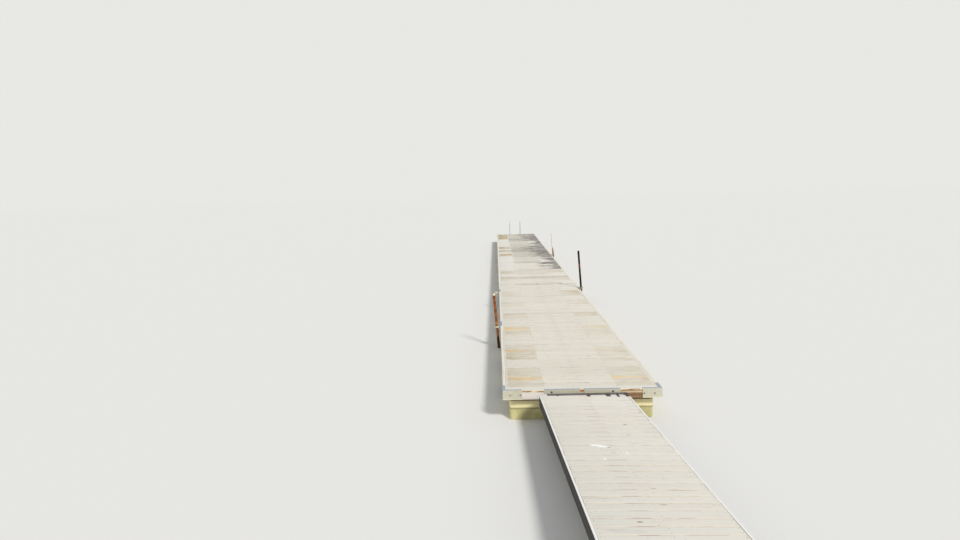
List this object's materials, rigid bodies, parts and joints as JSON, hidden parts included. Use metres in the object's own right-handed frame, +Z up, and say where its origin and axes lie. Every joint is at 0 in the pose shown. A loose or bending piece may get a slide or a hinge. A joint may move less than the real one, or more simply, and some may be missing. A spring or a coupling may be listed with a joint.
{
  "type": "floating wooden jetty",
  "caption": "Long decked float jetty in pinned bays, with a hinged gangway, pipes standing in side rings and a bathing ladder at the far end.",
  "frame": {"origin": "middle of the whole length and width, at the undersides of the floats", "axes": "+X to the right across the deck, +Y along the jetty from the shore out over the water, +Z up"},
  "size_m": [2.2551, 31.9747, 1.3386],
  "materials": {
    "deck_boards": "sun-bleached softwood boards, sawn and weathered",
    "bleached_edge": "very pale bleached beam, weathered",
    "end_timber": "weathered brown timber",
    "inner_timber": "damp weathered timber",
    "float_foam": "dull closed-cell foam, stained at the waterline",
    "galvanised_plate": "dull galvanised plate",
    "dark_steel": "dark weathered steel",
    "dark_rubber": "worn dark rubber strip",
    "gangway_boards": "pale grey bleached boards",
    "gangway_edge": "almost white bleached side board",
    "gangway_timber": "dark grey weathered timber",
    "rusty_pipe": "orange rust all over",
    "dark_rusty_pipe": "dark brown rust",
    "half_rusty_pipe": "galvanised, rusting from below",
    "galvanised_tube": "galvanised tube and folded sheet"
  },
  "bodies": {
    "bay_1": {"deck_1": "deck_boards", "side_beams_1": "bleached_edge", "end_beams_1": "end_timber", "joists_1": "inner_timber", "float_bearers_1": "inner_timber", "floats_1": "float_foam", "corner_plates_1": "galvanised_plate", "coupling_plates_1": "galvanised_plate", "gangway_pins": "dark_steel", "bracket_left": "galvanised_plate", "bracket_left_spare": "galvanised_plate", "bracket_right_near": "galvanised_plate"},
    "bay_2": {"deck_2": "deck_boards", "side_beams_2": "bleached_edge", "end_beams_2": "end_timber", "joists_2": "inner_timber", "float_bearers_2": "inner_timber", "floats_2": "float_foam", "corner_plates_2": "galvanised_plate", "coupling_plates_2": "galvanised_plate", "coupling_pins_1": "dark_steel", "bracket_right_far": "galvanised_plate"},
    "bay_3": {"deck_3": "deck_boards", "side_beams_3": "bleached_edge", "end_beams_3": "end_timber", "joists_3": "inner_timber", "float_bearers_3": "inner_timber", "floats_3": "float_foam", "corner_plates_3": "galvanised_plate", "coupling_plates_3": "galvanised_plate", "coupling_pins_2": "dark_steel", "ladder_left_rail": "galvanised_tube", "ladder_right_rail": "galvanised_tube", "ladder_steps": "galvanised_tube"},
    "gangway": {"gangway_deck": "gangway_boards", "gangway_left_side": "gangway_edge", "gangway_right_side": "gangway_edge", "gangway_stringers": "gangway_timber", "gangway_cross_beams": "gangway_timber", "gangway_flap": "dark_rubber", "gangway_hinge_eyes": "dark_steel"},
    "pipe_left": {"pipe_left": "rusty_pipe"},
    "pipe_right_near": {"pipe_right_near": "dark_rusty_pipe"},
    "pipe_right_far": {"pipe_right_far": "half_rusty_pipe"}
  },
  "joints": [
    {"name": "gangway_hinge", "type": "hinge", "parent": "bay_1", "child": "gangway", "pos_m": [0, -11.12066, 0.346], "axis": [1, 0, 0], "range_deg": [-8, 8]},
    {"name": "coupling_1_hinge", "type": "hinge", "parent": "bay_1", "child": "bay_2", "pos_m": [0, -2.12066, 0.346], "axis": [1, 0, 0], "range_deg": [-3, 3]},
    {"name": "coupling_2_hinge", "type": "hinge", "parent": "bay_2", "child": "bay_3", "pos_m": [0, 6.87934, 0.346], "axis": [1, 0, 0], "range_deg": [-3, 3]},
    {"name": "pipe_left_slide", "type": "slide", "parent": "bay_1", "child": "pipe_left", "axis": [-0.0724, 0, 0.9974], "range_m": [-0.3, 0.25]},
    {"name": "pipe_right_near_slide", "type": "slide", "parent": "bay_1", "child": "pipe_right_near", "axis": [-0.068, 0, 0.9977], "range_m": [-0.3, 0.25]},
    {"name": "pipe_right_far_slide", "type": "slide", "parent": "bay_2", "child": "pipe_right_far", "axis": [-0.0785, 0, 0.9969], "range_m": [-0.3, 0.25]}
  ]
}
